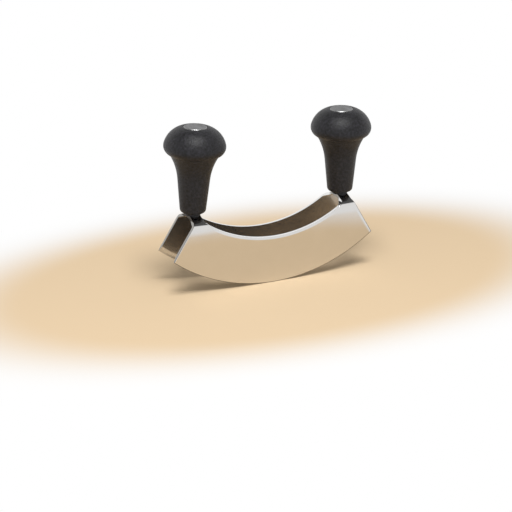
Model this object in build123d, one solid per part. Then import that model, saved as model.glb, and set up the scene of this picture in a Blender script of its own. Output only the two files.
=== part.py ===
from build123d import *
import math
import os

# Double-bladed mezzaluna. One blanked and folded steel sheet carries both crescent blades and the
# two bridges between them, and a mushroom grip is bolted upright on each bridge.
# Millimetres. X runs along the blades, Y across them, Z up.
# The origin is midway between the two blades, under the lowest point of their cutting edges.

# Blades
blade_chord = 160.0          # straight distance between the two lower corners of a blade
edge_radius = 132.0          # radius of the cutting edge
blade_depth = 35.0           # from the cutting edge up to the hollowed top edge, at the middle
top_radius = 95.0            # radius of the hollowed top edge
blades_width = 27.0          # over the outer faces of the two blades
sheet = 2.0                  # thickness of the steel
bend_radius = 1.2            # inside radius of every fold
grind_height = 4.0           # height of the bevel ground on the inner face
edge_land = 0.25             # thickness left at the cutting edge
tip_round = 0.6              # rounding of the lower corners, seen from the side
notch_round = 2.0            # rounding where the hollowed edge runs into a bridge
shoulder_round = 2.0         # rounding where a bridge runs into the slanted end

# Bridges
grip_inset = 20.5            # from a blade's lower corner in to the axis of the grip, along X
grip_lean = 1.3              # degrees that each bridge and its grip lean towards the middle
bridge_width = 8.1           # along X
fold_drop = 0.9              # from the end of the hollowed edge down to the blade face's fold line
shoulder_rise = 1.6          # from the fold line up to where the slanted end meets the bridge
ridge_rise = 3.9             # from the fold line up to the flat ridge under the grip
ridge_width = 8.4            # across Y, between the two upper folds

# Grips, heights above the foot
grip_height = 62.0
foot_radius = 9.1
foot_round = 2.6
boss_radius = 5.5            # round boss under the foot, cut to sit astride the bridge
foot_lift = 1.85             # from the ridge up to the underside of the foot
waist_radius = 11.5          # where the straight taper starts to flare
waist_height = 24.5
crease_radius = 17.6         # sharp crease between the flare and the rolled lip of the knob
crease_height = 42.3
lip_radius = 21.75           # where the rolled lip runs into the dome
lip_height = 49.8
dome_radius = 17.9           # a point half way up the dome
dome_height = 57.0
crown_radius = 9.2           # top of the dome, outer edge of the flat rim round the cap

# Caps
cap_radius = 8.3
cap_thickness = 1.6
cap_chamfer = 0.4
cap_rise = 0.3               # how far the cap stands above the rim round it
cap_gap = 0.25               # ring of space round the cap
spigot_length = 2.6
spigot_wall = 1.0
spigot_clearance = 0.05      # on the radius, between spigot and well

# Fasteners: a countersunk bolt up through each bridge and grip, with a nut in the grip's well
bolt_diameter = 4.0
hole_clearance = 0.15        # on the radius, in the bridge, the grip and the washer
thread_clearance = 0.05      # on the radius, between bolt and nut
head_radius = 3.6
head_rim = 0.3               # height of the straight rim below the head's cone
socket_flats = 2.5
socket_depth = 1.3
washer_radius = 4.5
washer_thickness = 0.8
well_clearance = 0.6         # on the radius, between washer and well
nut_flats = 7.0
nut_height = 3.2
nut_chamfer = 0.4
nut_play = 0.4               # free height between the nut and the cap's spigot
bolt_overhang = 1.2          # thread that stands out above the nut
point_chamfer = 0.4
overrun = 5.0                # how far every cutting shape passes the solid

# Places that follow from the sizes above
half_chord = blade_chord / 2
half_width = blades_width / 2
half_ridge = ridge_width / 2
inner_face = half_width - sheet
outer_bend = bend_radius + sheet
grip_x = half_chord - grip_inset
notch_x = grip_x - bridge_width / 2
shoulder_x = grip_x + bridge_width / 2
corner_height = edge_radius - math.sqrt(edge_radius ** 2 - half_chord ** 2)
notch_height = blade_depth + top_radius - math.sqrt(top_radius ** 2 - notch_x ** 2)
fold_height = notch_height - fold_drop
shoulder_height = fold_height + shoulder_rise
ridge_height = fold_height + ridge_rise
bolt_radius = bolt_diameter / 2
hole_radius = bolt_radius + hole_clearance

# Heights along a grip's own axis, above its foot
recess_floor = grip_height + cap_rise - cap_thickness
nut_top = recess_floor - spigot_length - nut_play
nut_seat = nut_top - nut_height
well_floor = nut_seat - washer_thickness
well_radius = washer_radius + well_clearance
bolt_length = sheet + foot_lift + nut_top + bolt_overhang


def on_bridge(shape, side, height=0):
    """The shape stood on the left (-1) or right (1) ridge, a height along the grip's axis."""
    return Pos(side * grip_x, 0, ridge_height) * Rot(0, -side * grip_lean, 0) * Pos(0, 0, height) * shape


def outer_section():
    """Outer outline across the folded sheet, filled, with the middle of the ridge on the origin."""
    depth = ridge_height + sheet + overrun
    outline = Polyline(
        (-half_width, -depth),
        (-half_width, -ridge_rise),
        (-half_ridge, 0),
        (half_ridge, 0),
        (half_width, -ridge_rise),
        (half_width, -depth),
        close=True,
    )
    outer = make_face(outline)
    folds = outer.vertices().filter_by(lambda v: v.Y > -depth)
    return fillet(folds, outer_bend)


def along_bridge(section):
    """Section drawn out along X, both ways from a bridge and past the ends of the blades."""
    return extrude(Plane.YZ * section, amount=half_chord, both=True)


def side_outline():
    """Side view of the sheet: the cutting edge, the slanted ends, the bridges, the hollowed top."""
    top = ridge_height + overrun
    edge = ThreePointArc((-half_chord, corner_height), (0, 0), (half_chord, corner_height))
    right_end = Polyline(
        (half_chord, corner_height),
        (shoulder_x, shoulder_height),
        (shoulder_x, top),
        (notch_x, top),
        (notch_x, notch_height),
    )
    hollow = ThreePointArc((notch_x, notch_height), (0, blade_depth), (-notch_x, notch_height))
    left_end = mirror(right_end, Plane.YZ)
    face = make_face(edge + right_end + hollow + left_end)
    face = round_corners(face, half_chord, corner_height, tip_round)
    face = round_corners(face, shoulder_x, shoulder_height, shoulder_round)
    return round_corners(face, notch_x, notch_height, notch_round)


def round_corners(face, x, height, radius):
    """The side view with its corner at x, and the one that mirrors it, rounded."""
    corners = [face.vertices().sort_by_distance((side * x, height))[0] for side in (-1, 1)]
    return fillet(corners, radius)


def rear_grind():
    """Ring that takes the bevel off the inner face of the rear blade, along its cutting edge."""
    land = half_width - edge_land
    slope = (land - inner_face) / grind_height
    outline = Polyline(
        (inner_face, grind_height),
        (land + slope * overrun, -overrun),
        (inner_face - overrun, -overrun),
        (inner_face - overrun, grind_height),
        close=True,
    )
    axis = Axis((0, 0, edge_radius), (0, 1, 0))
    return revolve(Plane.YZ * make_face(outline), axis)


def head_cone(depth):
    """Cone of a countersunk head, from the ridge down past the rim to a depth below the ridge."""
    slope = (head_radius - bolt_radius) / (sheet - head_rim)
    return Pos(0, 0, -depth / 2) * Cone(bolt_radius + slope * depth, bolt_radius, depth)


def bolt_seat():
    """What is cut from a bridge for its bolt: the hole and the countersink under the ridge."""
    countersink = head_cone(sheet + head_rim)
    return Cylinder(hole_radius, 2 * overrun) + countersink


def double_blade():
    """The whole steel sheet: blanked, ground, folded and countersunk."""
    section = outer_section()
    section = section - offset(section, amount=-sheet)
    blank = extrude(Plane.XZ * side_outline(), amount=blades_width, both=True)
    right = on_bridge(along_bridge(section), 1) & blank
    body = right + mirror(right, Plane.YZ)
    grind = rear_grind()
    body = body - grind - mirror(grind, Plane.XZ)
    return body - on_bridge(bolt_seat(), -1) - on_bridge(bolt_seat(), 1)


def grip():
    """Moulded mushroom grip, its foot on the origin, with the bolt hole, the well and the recess."""
    taper = Line((foot_radius, 0), (waist_radius, waist_height))
    flare = TangentArc(taper @ 1, (crease_radius, crease_height), tangent=taper % 1)
    dome = ThreePointArc(
        (lip_radius, lip_height), (dome_radius, dome_height), (crown_radius, grip_height)
    )
    lip = TangentArc(dome @ 0, flare @ 1, tangent=-(dome % 0))
    recess_radius = cap_radius + cap_gap
    boss_end = -foot_lift - sheet
    inside = Polyline(
        (crown_radius, grip_height),
        (recess_radius, grip_height),
        (recess_radius, recess_floor),
        (well_radius, recess_floor),
        (well_radius, well_floor),
        (hole_radius, well_floor),
        (hole_radius, boss_end),
        (boss_radius, boss_end),
        (boss_radius, 0),
        (foot_radius, 0),
    )
    profile = make_face(taper + flare + lip + dome + inside)
    foot = profile.vertices().sort_by_distance((foot_radius, 0))[0]
    profile = fillet(foot, foot_round)
    saddle = Pos(0, 0, -foot_lift) * along_bridge(outer_section())
    return revolve(Plane.XZ * profile, Axis.Z) - saddle


def cap():
    """Metal cap, the underside of its disc on the origin, with a short hollow spigot below."""
    disc = Pos(0, 0, cap_thickness / 2) * Cylinder(cap_radius, cap_thickness)
    disc = chamfer(disc.edges().group_by(Axis.Z)[-1], cap_chamfer)
    spigot_radius = well_radius - spigot_clearance
    spigot = Cylinder(spigot_radius, spigot_length) - Cylinder(spigot_radius - spigot_wall, spigot_length)
    return disc + Pos(0, 0, -spigot_length / 2) * spigot


def bolt():
    """Countersunk socket bolt, standing on its head with the flat of the head on the origin."""
    rim = Pos(0, 0, head_rim / 2) * Cylinder(head_radius, head_rim)
    cone = Pos(0, 0, sheet) * head_cone(sheet - head_rim)
    shank = Pos(0, 0, bolt_length / 2) * Cylinder(bolt_radius, bolt_length)
    shank = chamfer(shank.edges().group_by(Axis.Z)[-1], point_chamfer)
    socket = extrude(RegularPolygon(socket_flats / 2, 6, major_radius=False), amount=socket_depth)
    return rim + cone + shank - socket


def washer():
    """Plain washer, its underside on the origin."""
    ring = Cylinder(washer_radius, washer_thickness) - Cylinder(hole_radius, washer_thickness)
    return Pos(0, 0, washer_thickness / 2) * ring


def nut():
    """Hexagon nut, its underside on the origin, with the corners turned down at both ends."""
    block = extrude(RegularPolygon(nut_flats / 2, 6, major_radius=False, rotation=30), amount=nut_height)
    turned = Pos(0, 0, nut_height / 2) * Cylinder(nut_flats / math.sqrt(3), nut_height)
    turned = chamfer(turned.edges().filter_by(GeomType.CIRCLE), nut_chamfer)
    bore = Pos(0, 0, nut_height / 2) * Cylinder(bolt_radius + thread_clearance, nut_height)
    return (block & turned) - bore


pieces = {"double_blade": double_blade()}
for name, side in (("left", -1), ("right", 1)):
    pieces[f"grip_{name}"] = on_bridge(grip(), side, foot_lift)
    pieces[f"cap_{name}"] = on_bridge(cap(), side, foot_lift + recess_floor)
    pieces[f"washer_{name}"] = on_bridge(washer(), side, foot_lift + well_floor)
    pieces[f"bolt_{name}"] = on_bridge(bolt(), side, -sheet)
    pieces[f"nut_{name}"] = on_bridge(nut(), side, foot_lift + nut_seat)

os.makedirs("parts", exist_ok=True)
for name, piece in pieces.items():
    export_step(piece, f"parts/{name}.step")
print("bolt length", round(bolt_length, 2))
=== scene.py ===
import math

import bmesh
import bpy
from mathutils import Matrix, Vector

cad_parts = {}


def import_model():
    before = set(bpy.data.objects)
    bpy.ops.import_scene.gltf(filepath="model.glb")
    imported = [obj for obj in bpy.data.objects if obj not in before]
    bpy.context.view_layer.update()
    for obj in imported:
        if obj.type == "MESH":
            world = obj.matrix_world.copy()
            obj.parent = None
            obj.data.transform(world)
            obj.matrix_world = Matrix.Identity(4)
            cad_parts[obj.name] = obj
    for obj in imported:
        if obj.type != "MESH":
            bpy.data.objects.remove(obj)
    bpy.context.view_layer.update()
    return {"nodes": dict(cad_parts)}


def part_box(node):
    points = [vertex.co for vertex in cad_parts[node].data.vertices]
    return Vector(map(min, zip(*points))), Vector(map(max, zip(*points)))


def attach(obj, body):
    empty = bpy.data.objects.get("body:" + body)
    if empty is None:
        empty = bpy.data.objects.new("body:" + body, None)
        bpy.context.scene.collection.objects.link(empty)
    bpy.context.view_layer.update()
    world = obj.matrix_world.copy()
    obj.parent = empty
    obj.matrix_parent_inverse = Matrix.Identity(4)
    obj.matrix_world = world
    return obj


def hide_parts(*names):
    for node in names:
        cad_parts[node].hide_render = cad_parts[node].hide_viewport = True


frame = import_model()

# Camera, in metres and degrees: the photograph's viewing angle
AIM = Vector((-0.0085, 0.0, 0.0163))    # the point in the middle of the picture
DISTANCE = 1.2299
YAW = 27.515                            # from the front towards the left end
PITCH = 21.094                          # looking down
ROLL = 1.307
LENS = 119.23
SENSOR = 36.0
CLIP_END = 20.0

# Lamp
LAMP_PLACE = Vector((-0.17, -0.42, 1.2))
LAMP_TARGET = Vector((0, 0, 0.05))
LAMP_SIZE = 0.5
LAMP_WATTS = 13.5

# World
FILL = 0.36                             # strength of the light on matt surfaces
HORIZON_SINE = 0.5                      # in front, the white ends at this sine of elevation
CEILING_SINE = 0.78                     # and has faded to the ceiling's grey by this one
REAR_RISE = 0.06                        # behind, both are this much higher
REAR_TURN = (-0.3, 0.5)                 # front turns into rear between these Y of the direction
CEILING = 0.1                           # the ceiling's grey, as a share of white

# Floor
FLOOR_SIZE = 6.0
NEAR_FLOOR = (0.75, 0.575, 0.375, 1)
FAR_FLOOR = (0.9, 0.9, 0.9, 1)          # as lamps light it
FAR_WHITE = (1, 1, 1, 1)                # as the camera and mirrors see it
NEAR_RADIUS = 0.1                       # the warm tone reaches this far across the blades
FAR_RADIUS = 0.18                       # and has faded to white here
LENGTHWAYS = 0.55                       # distances along the blades count this much

# Blades
EDGE_RADIUS = 0.132                     # of the cutting edge
GRIND_HEIGHT = 0.004                    # of the bevel on the inner faces
HOLLOW_RADIUS = 0.095                   # of the hollowed top edge
HOLLOW_CENTRE = 0.13                    # height of its centre
HOLLOW_END = 0.0543                     # the hollow ends this far out and the bridges begin
END_CORNER = (0.08, 0.027)              # lower corner of the slanted end
END_FACING = (0.853, 0.521)             # and the way that the end faces
FOLD_LINE = 0.052                       # height of the fold at the top of each face
RIDGE_BAND = 0.045                      # level faces above this height are the bridges' ridges

# Rounding of the sheet's edges along the hollow and the bridges
EDGE_ROUND = 0.00035
SHARP = math.radians(30)                # edges that turn by more are sharp
FLAT = math.radians(0.2)                # faces within this angle become one
MERGE = 1e-6                            # and points this near become one
CLEAR_OF_GRIND = 1.1                    # only edges farther in than this many bevel heights

# Polished faces: the roll-off in the bump, and a painted dark reflection along the rim
HOLLOW_ROLL = 0.0024                    # width along the hollow
END_ROLL = (0.0009, 0.0028)             # along the left and the right slanted end
FOLD_ROLL = 0.009                       # below the fold
ROLL_DEPTH = 0.00035
ROLL_START = 0.95                       # share of the width at which it starts
ROLL_BLEND = 0.2                        # how softly two roll-offs meet
WAVE_DEPTH = 0.00009
PAINTED_RIM_WIDTH = 0.0005                            # width of the painted dark reflection along the ends and the cutting edge
# tone of the painted dark reflection along the slanted ends and the cutting edge
PAINTED_DARK_RIM_TONE = (0.13, 0.12, 0.11, 1)

# Which way a face of the sheet looks, as shares of its normal, to tell its finish
BEVEL_FACING = (0.3, 0.97)              # the ground bevel, sideways
BEVEL_REACH = 1.02                      # and its middle is within this many bevel heights
CUT_FACING = 0.2                        # cut edges look sideways by less
LEVEL = 0.99                            # ridges look straight up or down by more
UPRIGHT = 0.9                           # the bridges' ends look along the blades by more
UNDERSIDE = -0.5                        # undersides look upward by less
MIDDLE_REFLECTION_BAND = (0.0055, 0.008)           # the painted dark reflection in the middle of a bridge's inward edge fades here
# HOLLOW, END and DARK are cut edges whose tones are painted reflections
POLISHED, HOLLOW, GROUND, INNER, END, DARK = range(6)

# Knobs and caps
PORE_DEPTH = 0.00038
GRAIN_DEPTH = 0.00006
GRAIN_STRENGTH = 0.7
PORE_WEAR = 0.8                         # how much the pores count in the plastic's roughness
PLASTIC_SPECULAR = 0.33
CAP_HIGHLIGHT_RIM = (0.0076, 0.008)               # a painted highlight brightens a cap here, onto its chamfer

# Tones of each finish, from dark to light; the cut edges, the inner faces, the polished faces' rim
# and the caps' chamfer carry painted reflections, shade and highlights
POLISHED_TONES = ((0.66, 0.65, 0.635, 1), (0.71, 0.7, 0.69, 1))
# the inner faces' darker warm tone is painted shade from the narrow gap between the blades
INNER_DULL_AND_SHADE_TONES = ((0.42, 0.385, 0.34, 1), (0.48, 0.445, 0.4, 1))
# the hollow's cut edge is lighter: a painted highlight
HOLLOW_HIGHLIGHT_TONES = ((0.78, 0.775, 0.77, 1), (0.86, 0.86, 0.855, 1))
# painted dark reflection in the middle of a bridge's inward edge
MIDDLE_PAINTED_REFLECTION = (0.34, 0.335, 0.325, 1)
# the slanted ends' cut edges are darker: a painted reflection
END_PAINTED_REFLECTION_TONES = ((0.3, 0.29, 0.27, 1), (0.42, 0.41, 0.39, 1))
# the bridges' outward cut edges are nearly black: a painted dark reflection
DARK_PAINTED_REFLECTION_TONES = ((0.03, 0.024, 0.018, 1), (0.07, 0.056, 0.044, 1))
GROUND_TONES = ((0.52, 0.51, 0.5, 1), (0.7, 0.69, 0.68, 1))
PLASTIC_TONES = ((0.002, 0.002, 0.002, 1), (0.022, 0.0205, 0.0265, 1))
CAP_TONES = ((0.115, 0.112, 0.112, 1), (0.2, 0.203, 0.21, 1))
# painted highlight on the caps' chamfer
CHAMFER_HIGHLIGHT_TONE = (0.3, 0.3, 0.3, 1)
FASTENER_TONES = ((0.45, 0.45, 0.455, 1), (0.6, 0.6, 0.605, 1))

# Roughness of each finish, lowest and highest
POLISHED_ROUGHNESS = (0.045, 0.13)
INNER_ROUGHNESS = (0.12, 0.2)
GROUND_ROUGHNESS = (0.18, 0.34)
PLASTIC_ROUGHNESS = (0.38, 0.56)
CAP_ROUGHNESS = (0.34, 0.46)
FASTENER_ROUGHNESS = (0.22, 0.36)
HOLLOW_ROUGHNESS = 0.12                 # lowest on each cut edge
END_ROUGHNESS = 0.28
DARK_ROUGHNESS = 0.3
CUT_SPREAD = 0.1                        # a cut edge's highest is this much rougher
FLOOR_ROUGHNESS = 0.85
FLOOR_SPECULAR = 0.2

# Ranges of noise that are spread over a finish
MID_NOISE = (0.3, 0.7)                  # most of a single noise's values
DULL_NOISE = (0.12, 0.45)               # of smears times lines
PORE_NOISE = (0.4, 0.66)
WORN_NOISE = (0.65, 1.2)                # of handling plus pores

# Noise cycles per metre along each axis, where lines run one way
DRAWN_LINES = (30, 1400, 1400)
INNER_LINES = (30, 900, 900)
CUT_LINES = (300, 6000, 300)
GROUND_LINES = (900, 60, 60)            # the first is per radian round the cutting edge
BRUSHED_PATCHES = (420, 120, 120)

# Depths of fine marks in the bump
DRAWN_DEPTH = 0.0000012
CUT_DEPTH = 0.000004
GROUND_DEPTH = 0.000006
TURNED_DEPTH = 0.000006
MOTTLE_DEPTH = 0.000005


def camera():
    """The camera, turned about the point that it aims at."""
    turn = (
        Matrix.Rotation(math.radians(-YAW), 4, "Z")
        @ Matrix.Rotation(math.radians(90 - PITCH), 4, "X")
        @ Matrix.Rotation(math.radians(ROLL), 4, "Z")
    )
    data = bpy.data.cameras.new("camera")
    data.lens = LENS
    data.sensor_width = SENSOR
    data.clip_end = CLIP_END
    obj = bpy.data.objects.new("camera", data)
    obj.matrix_world = Matrix.Translation(AIM) @ turn @ Matrix.Translation((0, 0, DISTANCE))
    bpy.context.scene.collection.objects.link(obj)
    bpy.context.scene.camera = obj


def softbox():
    """A square area lamp overhead that faces the object."""
    data = bpy.data.lights.new("overhead", "AREA")
    data.shape = "SQUARE"
    data.size = LAMP_SIZE
    data.energy = LAMP_WATTS
    obj = bpy.data.objects.new("overhead", data)
    turn = (LAMP_PLACE - LAMP_TARGET).to_track_quat("Z", "Y").to_matrix().to_4x4()
    obj.matrix_world = Matrix.Translation(LAMP_PLACE) @ turn
    bpy.context.scene.collection.objects.link(obj)


def feed(tree, socket, value):
    """Links an input to an output socket, or sets it to a value."""
    if isinstance(value, bpy.types.NodeSocket):
        tree.links.new(value, socket)
    else:
        socket.default_value = value


def add(tree, kind, settings=None, **inputs):
    """A new node. An input that is an output socket is linked, any other is set."""
    node = tree.nodes.new(kind)
    for key, value in (settings or {}).items():
        setattr(node, key, value)
    connect(tree, node, **inputs)
    return node


def connect(tree, node, **inputs):
    """Links or sets inputs of a node. An underscore stands for a space in an input's name."""
    for key, value in inputs.items():
        feed(tree, node.inputs[key.replace("_", " ")], value)


def math_node(tree, operation, first, second=0.0, third=0.0):
    """The result of a Math node on up to three values or sockets."""
    node = tree.nodes.new("ShaderNodeMath")
    node.operation = operation
    for socket, value in zip(node.inputs, (first, second, third)):
        feed(tree, socket, value)
    return node.outputs[0]


def ramp(tree, value, start, end, low, high, smooth=False):
    """A value carried from the range start to end over to the range low to high, and held there."""
    settings = {"interpolation_type": "SMOOTHSTEP"} if smooth else None
    node = add(
        tree, "ShaderNodeMapRange", settings,
        Value=value, From_Min=start, From_Max=end, To_Min=low, To_Max=high,
    )
    return node.outputs[0]


def length(tree, vector):
    """The length of a vector."""
    node = add(tree, "ShaderNodeVectorMath", {"operation": "LENGTH"}, Vector=vector)
    return node.outputs["Value"]


def split(tree, vector):
    """The X, Y and Z of a vector."""
    return add(tree, "ShaderNodeSeparateXYZ", None, Vector=vector).outputs


def joined(tree, x, y, z):
    """A vector from its X, Y and Z."""
    return add(tree, "ShaderNodeCombineXYZ", None, X=x, Y=y, Z=z).outputs[0]


def blend(tree, factor, first, second):
    """A colour between two colours."""
    node = tree.nodes.new("ShaderNodeMix")
    node.data_type = "RGBA"
    for name, value in (("Factor_Float", factor), ("A_Color", first), ("B_Color", second)):
        feed(tree, next(s for s in node.inputs if s.identifier == name), value)
    return next(s for s in node.outputs if s.identifier == "Result_Color")


def noise(tree, vector, scale, detail=2.0, roughness=0.5, distortion=0.0):
    """A noise value from 0 to 1."""
    node = add(
        tree, "ShaderNodeTexNoise", None,
        Vector=vector, Scale=scale, Detail=detail, Roughness=roughness, Distortion=distortion,
    )
    return node.outputs["Fac"]


def stretched(tree, vector, scale):
    """Coordinates scaled by axis."""
    return add(tree, "ShaderNodeMapping", None, Vector=vector, Scale=scale).outputs[0]


def bump(tree, height, distance, normal=None, strength=1.0):
    """A bumped normal, laid over another one if given."""
    node = add(tree, "ShaderNodeBump", None, Height=height, Distance=distance, Strength=strength)
    if normal is not None:
        tree.links.new(normal, node.inputs["Normal"])
    return node.outputs[0]


def new_material(name):
    """An empty node material, its Principled shader and the place of each point."""
    mat = bpy.data.materials.new(name)
    mat.use_nodes = True
    tree = mat.node_tree
    place = tree.nodes.new("ShaderNodeTexCoord").outputs["Object"]
    return mat, tree, tree.nodes["Principled BSDF"], place


def world():
    """White round the horizon and for the camera, grey overhead, dimmer on matt surfaces."""
    studio = bpy.data.worlds.new("studio")
    bpy.context.scene.world = studio
    studio.use_nodes = True
    tree = studio.node_tree
    direction = tree.nodes.new("ShaderNodeTexCoord").outputs["Generated"]
    axes = split(tree, direction)
    rise = ramp(tree, axes["Y"], *REAR_TURN, 0.0, REAR_RISE, smooth=True)
    upward = math_node(tree, "SUBTRACT", axes["Z"], rise)
    surround = ramp(tree, upward, HORIZON_SINE, CEILING_SINE, 1.0, CEILING, smooth=True)
    rays = tree.nodes.new("ShaderNodeLightPath").outputs
    mirrored = math_node(tree, "MAXIMUM", rays["Is Glossy Ray"], rays["Is Transmission Ray"])
    indirect = ramp(tree, mirrored, 0.0, 1.0, FILL, surround)
    strength = ramp(tree, rays["Is Camera Ray"], 0.0, 1.0, indirect, 1.0)
    connect(tree, tree.nodes["Background"], Color=(1, 1, 1, 1), Strength=strength)


def floor():
    """A wide pale floor, warm near the object, that fades to white."""
    mesh = bpy.data.meshes.new("floor")
    half = FLOOR_SIZE / 2
    corners = [(-half, -half, 0), (half, -half, 0), (half, half, 0), (-half, half, 0)]
    mesh.from_pydata(corners, [], [(0, 1, 2, 3)])
    obj = bpy.data.objects.new("floor", mesh)
    bpy.context.scene.collection.objects.link(obj)
    mat, tree, shader, place = new_material("floor")
    radius = length(tree, stretched(tree, place, (LENGTHWAYS, 1, 1)))
    far = ramp(tree, radius, NEAR_RADIUS, FAR_RADIUS, 0.0, 1.0, smooth=True)
    connect(tree, shader, Base_Color=blend(tree, far, NEAR_FLOOR, FAR_FLOOR))
    connect(tree, shader, Roughness=FLOOR_ROUGHNESS)
    shader.inputs["Specular IOR Level"].default_value = FLOOR_SPECULAR
    rays = tree.nodes.new("ShaderNodeLightPath").outputs
    seen = math_node(tree, "MAXIMUM", rays["Is Camera Ray"], rays["Is Glossy Ray"])
    seen = math_node(tree, "MAXIMUM", seen, rays["Is Transmission Ray"])
    white = add(tree, "ShaderNodeEmission", None, Color=FAR_WHITE, Strength=1.0).outputs[0]
    mixed = tree.nodes.new("ShaderNodeMixShader")
    tree.links.new(math_node(tree, "MULTIPLY", far, seen), mixed.inputs[0])
    tree.links.new(shader.outputs[0], mixed.inputs[1])
    tree.links.new(white, mixed.inputs[2])
    tree.links.new(mixed.outputs[0], tree.nodes["Material Output"].inputs["Surface"])
    mesh.materials.append(mat)


def from_arc(tree, axes, height, radius):
    """How far a point is outside an arc, seen from the side, whose centre is at a height."""
    above = math_node(tree, "SUBTRACT", axes["Z"], height)
    reach = length(tree, joined(tree, axes["X"], 0.0, above))
    return math_node(tree, "SUBTRACT", reach, radius)


def from_end(tree, axes):
    """How far in a point is from the nearer slanted end."""
    across = math_node(tree, "ABSOLUTE", axes["X"])
    inward = math_node(tree, "SUBTRACT", END_CORNER[0], across)
    inward = math_node(tree, "MULTIPLY", inward, END_FACING[0])
    below = math_node(tree, "SUBTRACT", END_CORNER[1], axes["Z"])
    return math_node(tree, "ADD", inward, math_node(tree, "MULTIPLY", below, END_FACING[1]))


def roll_off(tree, axes):
    """Height of a face that falls away slightly towards the hollow, the ends and the fold."""
    hollow = from_arc(tree, axes, HOLLOW_CENTRE, HOLLOW_RADIUS)
    end = from_end(tree, axes)
    end_width = ramp(tree, axes["X"], -END_CORNER[0], END_CORNER[0], *END_ROLL)
    fold = math_node(tree, "SUBTRACT", FOLD_LINE, axes["Z"])
    near = 1.0
    for distance, width in ((hollow, HOLLOW_ROLL), (end, end_width), (fold, FOLD_ROLL)):
        share = math_node(tree, "DIVIDE", distance, width)
        near = math_node(tree, "SMOOTH_MIN", near, share, ROLL_BLEND)
    roll = ramp(tree, near, 0.0, ROLL_START, 1.0, 0.0)
    return math_node(tree, "MULTIPLY", math_node(tree, "MULTIPLY", roll, roll), -1.0)


def polished_steel():
    """Mirror-polished sheet: faint drawn lines, slight waves, a few dull smears and a painted dark
    reflection along the rim.
    """
    mat, tree, shader, place = new_material("polished_steel")
    axes = split(tree, place)
    drawn = stretched(tree, place, DRAWN_LINES)
    lines = noise(tree, drawn, scale=1.0, detail=3.0, roughness=0.6)
    smears = noise(tree, place, scale=55.0, detail=3.0, roughness=0.55, distortion=0.6)
    waves = noise(tree, place, scale=22.0, detail=1.0, roughness=0.4)
    dull = math_node(tree, "MULTIPLY", smears, lines)
    colour = blend(tree, smears, *POLISHED_TONES)
    # the rim along the slanted ends and the cutting edge gets a painted dark reflection
    cutting = from_arc(tree, axes, EDGE_RADIUS, EDGE_RADIUS)
    cutting = math_node(tree, "MULTIPLY", cutting, -1.0)
    painted_rim = math_node(tree, "MINIMUM", from_end(tree, axes), cutting)
    colour = blend(tree, ramp(tree, painted_rim, PAINTED_RIM_WIDTH / 2, PAINTED_RIM_WIDTH, 0.0, 1.0), PAINTED_DARK_RIM_TONE, colour)
    normal = bump(tree, roll_off(tree, axes), ROLL_DEPTH)
    normal = bump(tree, waves, WAVE_DEPTH, normal)
    normal = bump(tree, lines, DRAWN_DEPTH, normal)
    connect(tree, shader, Base_Color=colour, Metallic=1.0, Normal=normal)
    connect(tree, shader, Roughness=ramp(tree, dull, *DULL_NOISE, *POLISHED_ROUGHNESS))
    return mat


def inner_steel():
    """The sheet's inner faces, less polished than its outer ones, and darker in a warm tone that is
    painted shade and reflection from the narrow gap between the blades.
    """
    mat, tree, shader, place = new_material("inner_steel")
    drawn = stretched(tree, place, INNER_LINES)
    lines = noise(tree, drawn, scale=1.0, detail=2.0, roughness=0.6)
    smears = noise(tree, place, scale=40.0, detail=3.0, roughness=0.55, distortion=0.6)
    colour = blend(tree, smears, *INNER_DULL_AND_SHADE_TONES)
    connect(tree, shader, Base_Color=colour, Metallic=0.9)
    connect(tree, shader, Roughness=ramp(tree, lines, *MID_NOISE, *INNER_ROUGHNESS))
    return mat


def cut_steel(name, tones, roughness, middle=None):
    """A cut edge with fine lines along it, in tones that paint what it reflects, and a painted dark
    reflection of another tone in its middle if given.
    """
    mat, tree, shader, place = new_material(name)
    sheared = stretched(tree, place, CUT_LINES)
    grain = noise(tree, sheared, scale=1.0, detail=2.0, roughness=0.5)
    colour = blend(tree, grain, *tones)
    if middle:
        # a painted dark reflection across the middle of a bridge's inward edge
        aside = math_node(tree, "ABSOLUTE", split(tree, place)["Y"])
        colour = blend(tree, ramp(tree, aside, *MIDDLE_REFLECTION_BAND, 0.0, 1.0), middle, colour)
    connect(tree, shader, Base_Color=colour, Metallic=1.0)
    rough = ramp(tree, grain, *MID_NOISE, roughness, roughness + CUT_SPREAD)
    connect(tree, shader, Roughness=rough)
    connect(tree, shader, Normal=bump(tree, grain, CUT_DEPTH))
    return mat


def ground_steel():
    """The bevel along the cutting edge, with grinding lines square to the edge."""
    mat, tree, shader, place = new_material("ground_steel")
    axes = split(tree, place)
    below = math_node(tree, "SUBTRACT", EDGE_RADIUS, axes["Z"])
    angle = math_node(tree, "ARCTAN2", axes["X"], below)
    around = stretched(tree, joined(tree, angle, axes["Y"], below), GROUND_LINES)
    lines = noise(tree, around, scale=1.0, detail=3.0, roughness=0.65)
    colour = blend(tree, lines, *GROUND_TONES)
    connect(tree, shader, Base_Color=colour, Metallic=1.0)
    connect(tree, shader, Roughness=ramp(tree, lines, *MID_NOISE, *GROUND_ROUGHNESS))
    connect(tree, shader, Normal=bump(tree, lines, GROUND_DEPTH))
    return mat


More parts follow.
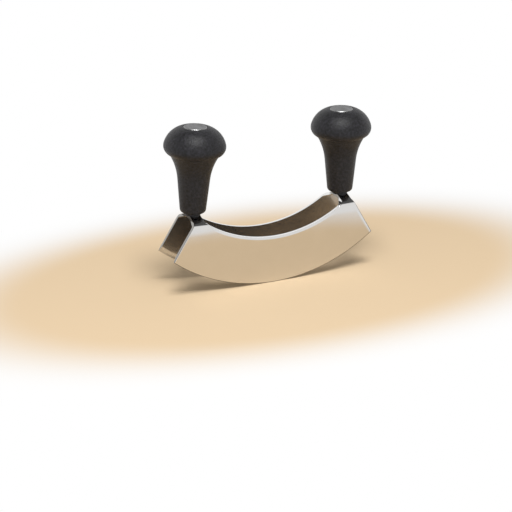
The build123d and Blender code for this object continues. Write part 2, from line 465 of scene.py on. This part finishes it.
def moulded_plastic():
    """Charcoal moulded plastic: a fine matt grain, mottled and slightly worn by handling."""
    mat, tree, shader, place = new_material("moulded_plastic")
    grain = noise(tree, place, scale=1500.0, detail=2.0, roughness=0.6)
    pores = noise(tree, place, scale=600.0, detail=4.0, roughness=0.75)
    handled = noise(tree, place, scale=60.0, detail=3.0, roughness=0.6, distortion=0.4)
    mottle = ramp(tree, pores, *PORE_NOISE, 0.0, 1.0)
    connect(tree, shader, Base_Color=blend(tree, mottle, *PLASTIC_TONES))
    worn = math_node(tree, "ADD", handled, math_node(tree, "MULTIPLY", pores, PORE_WEAR))
    connect(tree, shader, Roughness=ramp(tree, worn, *WORN_NOISE, *PLASTIC_ROUGHNESS))
    shader.inputs["Specular IOR Level"].default_value = PLASTIC_SPECULAR
    normal = bump(tree, pores, PORE_DEPTH, strength=GRAIN_STRENGTH)
    normal = bump(tree, grain, GRAIN_DEPTH, normal, strength=GRAIN_STRENGTH)
    connect(tree, shader, Normal=normal)
    return mat


def turned_metal(name, centre):
    """Satin metal with turning marks in rings round an upright axis, and a painted highlight on the
    chamfer.
    """
    mat, tree, shader, place = new_material(name)
    offset = add(tree, "ShaderNodeVectorMath", {"operation": "SUBTRACT"}, Vector=place)
    offset.inputs[1].default_value = centre
    radius = length(tree, stretched(tree, offset.outputs[0], (1, 1, 0)))
    rings = add(
        tree, "ShaderNodeTexNoise", {"noise_dimensions": "1D"},
        W=radius, Scale=9000.0, Detail=2.0,
    )
    speck = noise(tree, place, scale=1800.0, detail=2.0, roughness=0.6)
    brushed = stretched(tree, place, BRUSHED_PATCHES)
    patches = noise(tree, brushed, scale=1.0, detail=2.0, roughness=0.6)
    patches = ramp(tree, patches, *MID_NOISE, 0.0, 1.0)
    colour = blend(tree, patches, *CAP_TONES)
    # the chamfer gets a painted highlight, a lighter base colour
    painted_rim = ramp(tree, radius, *CAP_HIGHLIGHT_RIM, 0.0, 1.0)
    connect(tree, shader, Base_Color=blend(tree, painted_rim, colour, CHAMFER_HIGHLIGHT_TONE), Metallic=1.0)
    connect(tree, shader, Roughness=ramp(tree, speck, *MID_NOISE, *CAP_ROUGHNESS))
    connect(tree, shader, Normal=bump(tree, rings.outputs["Fac"], TURNED_DEPTH))
    return mat


def plain_metal():
    """Stainless fasteners as they come, with a slight mottle."""
    mat, tree, shader, place = new_material("fastener_metal")
    mottle = noise(tree, place, scale=1200.0, detail=3.0, roughness=0.6)
    colour = blend(tree, mottle, *FASTENER_TONES)
    connect(tree, shader, Base_Color=colour, Metallic=1.0)
    connect(tree, shader, Roughness=ramp(tree, mottle, *MID_NOISE, *FASTENER_ROUGHNESS))
    connect(tree, shader, Normal=bump(tree, mottle, MOTTLE_DEPTH))
    return mat


def to_edge(point):
    """How far in from the cutting edge a point is, seen from the side."""
    return EDGE_RADIUS - math.hypot(point.x, point.z - EDGE_RADIUS)


def round_edges(shape):
    """Rounds the sheet's sharp edges, apart from those that run down into the ground bevel."""
    bmesh.ops.remove_doubles(shape, verts=shape.verts, dist=MERGE)
    bmesh.ops.dissolve_limit(shape, angle_limit=FLAT, verts=shape.verts, edges=shape.edges)
    sharp = []
    for edge in shape.edges:
        if len(edge.link_faces) != 2 or edge.calc_face_angle() < SHARP:
            continue
        if min(to_edge(v.co) for v in edge.verts) > GRIND_HEIGHT * CLEAR_OF_GRIND:
            sharp.append(edge)
    made = bmesh.ops.bevel(
        shape, geom=sharp, offset=EDGE_ROUND, segments=2, profile=0.5,
        affect="EDGES", clamp_overlap=True,
    )
    return set(made["faces"])


def finish_of(face, rounded):
    """Which finish a face of the sheet has, from where it is and how it looks."""
    middle = face.calc_center_median()
    sideways = abs(face.normal.y)
    ground = to_edge(middle) < GRIND_HEIGHT * BEVEL_REACH
    if ground and BEVEL_FACING[0] < sideways < BEVEL_FACING[1]:
        return GROUND
    ridge = middle.z > RIDGE_BAND and abs(face.normal.z) > LEVEL
    if face in rounded or (sideways < CUT_FACING and not ridge):
        if abs(middle.x) <= HOLLOW_END or face.normal.x * middle.x <= 0:
            return HOLLOW
        return DARK if face in rounded or abs(face.normal.x) > UPRIGHT else END
    inside = face.normal.y * middle.y < 0 or face.normal.z < UNDERSIDE
    return INNER if inside else POLISHED


def blade_materials():
    """The sheet's materials, in the order that its finishes are numbered."""
    return (
        polished_steel(),
        cut_steel("hollow_edge", HOLLOW_HIGHLIGHT_TONES, HOLLOW_ROUGHNESS, middle=MIDDLE_PAINTED_REFLECTION),
        ground_steel(),
        inner_steel(),
        cut_steel("end_edge", END_PAINTED_REFLECTION_TONES, END_ROUGHNESS),
        cut_steel("painted_dark_reflection_edge", DARK_PAINTED_REFLECTION_TONES, DARK_ROUGHNESS),
    )


def blades():
    """The folded sheet again, with the edges of its hollow and bridges slightly rounded."""
    mesh = frame["nodes"]["double_blade"].data.copy()
    mesh.name = "folded_blades"
    shape = bmesh.new()
    shape.from_mesh(mesh)
    rounded = round_edges(shape)
    for face in shape.faces:
        face.smooth = True
        face.material_index = finish_of(face, rounded)
    mesh.materials.clear()
    for material in blade_materials():
        mesh.materials.append(material)
    shape.to_mesh(mesh)
    shape.free()
    mesh.set_sharp_from_angle(angle=SHARP)
    obj = bpy.data.objects.new("folded_blades", mesh)
    bpy.context.scene.collection.objects.link(obj)
    level = obj.modifiers.new("flat_faces", "WEIGHTED_NORMAL")
    level.keep_sharp = True
    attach(obj, "root")
    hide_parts("double_blade")


def dress(node, material):
    """Gives a CAD node its material."""
    data = frame["nodes"][node].data
    data.materials.clear()
    data.materials.append(material)


camera()
world()
floor()
softbox()

blades()
plastic = moulded_plastic()
metal = plain_metal()
for side in ("left", "right"):
    dress(f"grip_{side}", plastic)
    low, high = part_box(f"cap_{side}")
    dress(f"cap_{side}", turned_metal(f"cap_metal_{side}", (low + high) / 2))
    for fastener in ("bolt", "washer", "nut"):
        dress(f"{fastener}_{side}", metal)

bpy.context.scene.view_settings.view_transform = "Standard"
